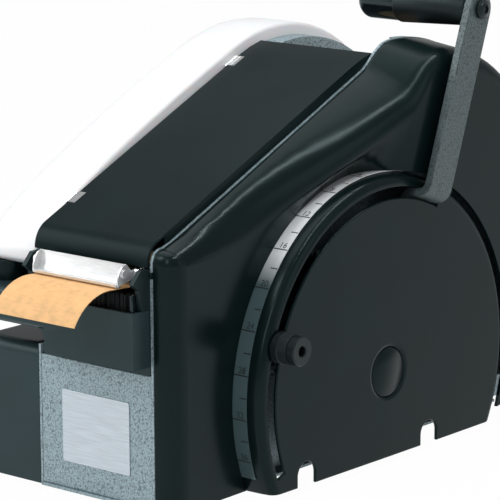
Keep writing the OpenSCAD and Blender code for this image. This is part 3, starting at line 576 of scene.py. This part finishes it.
knob = {
    "radius": 129.8, "angle": 161, "left": 146.9, "barrel": 11.4,
    "threads": 36, "depth": 0.45, "pitch": 2.0, "grooveWidth": 0.28,
    "knurlFrom": 5.9, "ring": 0.4, "rings": 20,
}


def addKnob():
    k = knob
    centre = aroundPivot(k["radius"], k["angle"])
    x, r = k["left"], k["barrel"]
    bm = bmesh.new()
    turned(bm, [(x, r - 1.5), (x, r - 0.6), (x + 0.5, r - 0.05), (x + 5.4, r - 0.05), (x + 5.9, r - 0.5),
                (x + 6.1, r - 1.6)], centre, 96)
    turned(bm, [(x + 13.6, r - 1.6), (x + 14.1, r - 1), (x + 19.2, r - 1), (x + 20, r - 1.8), (x + 20, 4.3),
                (x + 19.4, 3.6), (x + 15, 3.6)], centre, 96)
    finished("knob_ends", bm, "black_knob", "stop", "stop_knob")
    start = x + k["knurlFrom"]

    def diamonds(across, share):
        around, along = share * k["threads"], (across - start) / k["pitch"]
        near = min(abs(v - round(v)) for v in (around + along, around - along))
        return k["depth"] * max(0, 1 - near / k["grooveWidth"])

    bm = bmesh.new()
    turned(bm, [(start + k["ring"] * i, r - 0.6) for i in range(k["rings"])], centre, 144, diamonds)
    finished("knob_knurl", bm, "black_knob", "stop", degrees=20)
    bm = bmesh.new()
    turned(bm, [(x + 14.9, 3.7), (x + 15, 3.7)], centre, 6)
    finished("knob_socket", bm, "ink", "stop")


grip = {
    "radius": 269, "angle": 70, "left": 52.4, "right": 150.4, "step": 87.4,
    "dome": 9, "flat": 5.4, "ribs": 96, "ribDepth": 0.22,
}


def addGrip():
    g = grip
    centre = aroundPivot(g["radius"], g["angle"])
    x, r = g["step"], g["dome"]
    bm = bmesh.new()
    dome = [(g["left"] + r - r * math.cos(a), g["flat"] + r * math.sin(a))
            for a in (math.radians(v) for v in range(0, 91, 10))]
    turned(bm, dome + [(x + 2, 14.4)], centre, 96)
    finished("grip_end", bm, "glossy_grip", "grip", "lever_grip")
    bm = bmesh.new()
    steps = 2 * g["ribs"]
    turned(bm, [(x, 14.1), (x + 0.5, 14.8), (x + 1.4, 15.1), (g["right"] - 1.5, 12.6), (g["right"], 11.4)],
           centre, steps, lambda across, share: g["ribDepth"] * (round(share * steps) % 2))
    finished("grip_sleeve", bm, "grained_grip", "grip", degrees=60)


boltHead = {"left": 157.35}


def addBoltHead():
    centre = aroundPivot(grip["radius"], grip["angle"])
    bm = bmesh.new()
    x = boltHead["left"]
    turned(bm, [(x + 3.01, 5.6), (x + 3.8, 5.2), (x + 4.5, 4.2), (x + 4.8, 2.9), (x + 3.4, 2.7)], centre, 64)
    finished("bolt_head", bm, "black_knob", "lever")


brush = {
    "left": 24.0, "right": 98.9, "depth": 13, "low": 100.5, "block": 122.5, "top": 148.3,
    "front_brush": -13.5, "rear_brush": 5.5, "clipTop": 149, "clipWidth": 2.5, "clipEdge": 0.8,
    "rows": 5, "columns": 34, "hairs": 6, "fromLeft": 3.5, "sideRims": 9, "rowRim": 2.4,
}
hair = {
    "scatter": 0.7, "sway": 0.9, "uneven": 1.6, "turn": 2,
    "foot": 0.34, "tip": 0.2, "thirds": (0, 2.09, 4.19),
}


def addBrush(node):
    b, y = brush, brush[node]
    clipLeft = b["right"] - b["clipWidth"]
    width, depth = b["right"] - b["left"] - b["sideRims"], b["depth"] - 2 * b["rowRim"]
    luck = random.Random(node)
    bm = bmesh.new()
    addBox(bm, (b["left"], y, b["low"]), (clipLeft, y + b["depth"], b["block"]))
    for column in range(b["columns"]):
        for row in range(b["rows"]):
            cx = b["left"] + b["fromLeft"] + width * (column + 0.5 * (row % 2)) / b["columns"]
            cy = y + b["rowRim"] + depth * row / (b["rows"] - 1)
            for _ in range(b["hairs"]):
                addHair(bm, cx, cy, luck)
    finished(node + "_hair", bm, "bristle", "frame", node)
    bm = bmesh.new()
    addBox(bm, (clipLeft, y, b["low"]), (b["right"], y + b["depth"], b["clipTop"]))
    clip = finished(node + "_clip", bm, "glossy_grip", "frame")
    edges = clip.modifiers.new("edges", "BEVEL")
    edges.width, edges.segments = b["clipEdge"] * mm, 3


def addHair(bm, cx, cy, luck):
    # three-sided, with its foot near the middle of its tuft and its tip leaning a little
    h = hair
    fx, fy = cx + luck.uniform(-h["scatter"], h["scatter"]), cy + luck.uniform(-h["scatter"], h["scatter"])
    tx, ty = fx + luck.uniform(-h["sway"], h["sway"]), fy + luck.uniform(-h["scatter"], h["scatter"])
    tz = brush["top"] - luck.uniform(0, h["uneven"])
    turn = luck.uniform(0, h["turn"])
    rings = []
    for x, y, z, r in ((fx, fy, brush["block"], h["foot"]), (tx, ty, tz, h["tip"])):
        rings.append([bm.verts.new(at(x + r * math.cos(turn + v), y + r * math.sin(turn + v), z))
                      for v in h["thirds"]])
    foot, tip = rings
    for i in range(3):
        k = (i + 1) % 3
        bm.faces.new((foot[i], foot[k], tip[k], tip[i]))
    bm.faces.new(tip)


clips = {  # under and over are the heights of a leaf's two faces above the lid
    "rows": (37, 208), "left": -1.9, "right": 5.2, "half": 6.5, "under": 0.02, "over": 0.35,
    "pitch": 23.8, "arch": (268, 156), "lidRadius": 130,
}


def addLidClips():
    # a leaf of each hinge clip lies on the sloping lid, which runs on from the arch over the roll
    c = clips
    pitch = math.radians(c["pitch"])
    size = Vector((c["right"] - c["left"], 2 * c["half"], c["over"] - c["under"])) * mm
    shape = Matrix.Rotation(pitch, 4, "X") @ Matrix.Diagonal((*size, 1))
    up = (c["over"] + c["under"]) / 2
    bm = bmesh.new()
    for y in c["rows"]:
        top = c["arch"][1] + c["lidRadius"] / math.cos(pitch) + (y - c["arch"][0]) * math.tan(pitch)
        middle = at((c["left"] + c["right"]) / 2, y - up * math.sin(pitch), top + up * math.cos(pitch))
        bmesh.ops.create_cube(bm, size=1, matrix=Matrix.Translation(middle) @ shape)
    finished("lid_clip_leaves", bm, "chrome", "lid")


pinNut = {"ends": ((91.3, 96.2), (11.7, 6.8)), "axis": (1, 161)}


def addPinNuts():
    bm = bmesh.new()
    for inner, outer in pinNut["ends"]:
        way = 1 if outer > inner else -1
        turned(bm, [(inner, 4.2), (inner + way * 0.5, 4.7), (inner + way * 3, 4.7), (inner + way * 4.2, 3.8),
                    (outer, 2.2)], pinNut["axis"], 32)
    finished("pin_nuts", bm, "chrome", "frame")


addCamera(camera)
addLamps()
addWorld()
addFloor()
makeFinishes()
print("finishes made:", len(finishes))
dressNodes()
for name, width in brokenEdges.items():
    edged(name, width)
print("edges broken:", len(brokenEdges))
addScaleMarks()
addKnob()
addGrip()
addBoltHead()
addBrush("front_brush")
addBrush("rear_brush")
addLidClips()
addPinNuts()
bpy.context.scene.view_settings.view_transform = "Standard"
